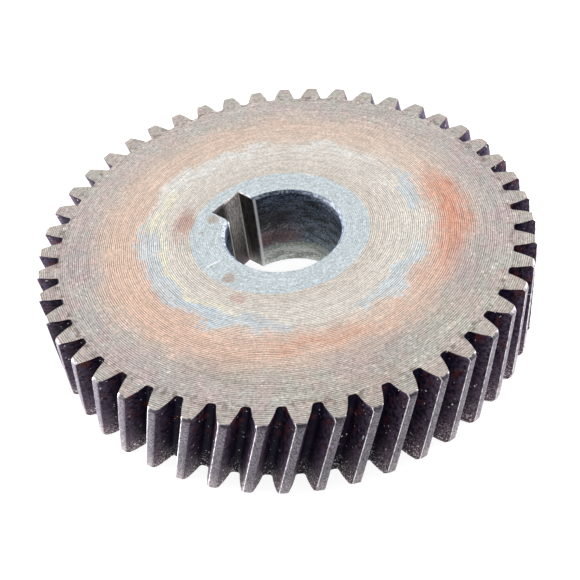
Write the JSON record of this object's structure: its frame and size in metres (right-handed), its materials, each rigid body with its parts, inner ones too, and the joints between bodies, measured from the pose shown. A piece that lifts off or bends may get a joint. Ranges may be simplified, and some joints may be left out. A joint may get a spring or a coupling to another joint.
{
  "type": "helical gear",
  "caption": "Flat steel disc gear with right-hand helical involute teeth, a through bore and one keyway.",
  "frame": {"origin": "on the bore's axis, in the plane of the lower face that the gear lies on", "axes": "+Z along the bore's axis, out of the upper face; +Y from the bore's axis to the middle of the keyway"},
  "size_m": [0.063, 0.063, 0.0125],
  "materials": {
    "gear_steel": "turned faces with heat tints and light rust stains, dark oiled tooth flanks"
  },
  "bodies": {
    "root": {"helical_gear": "gear_steel"}
  },
  "joints": []
}
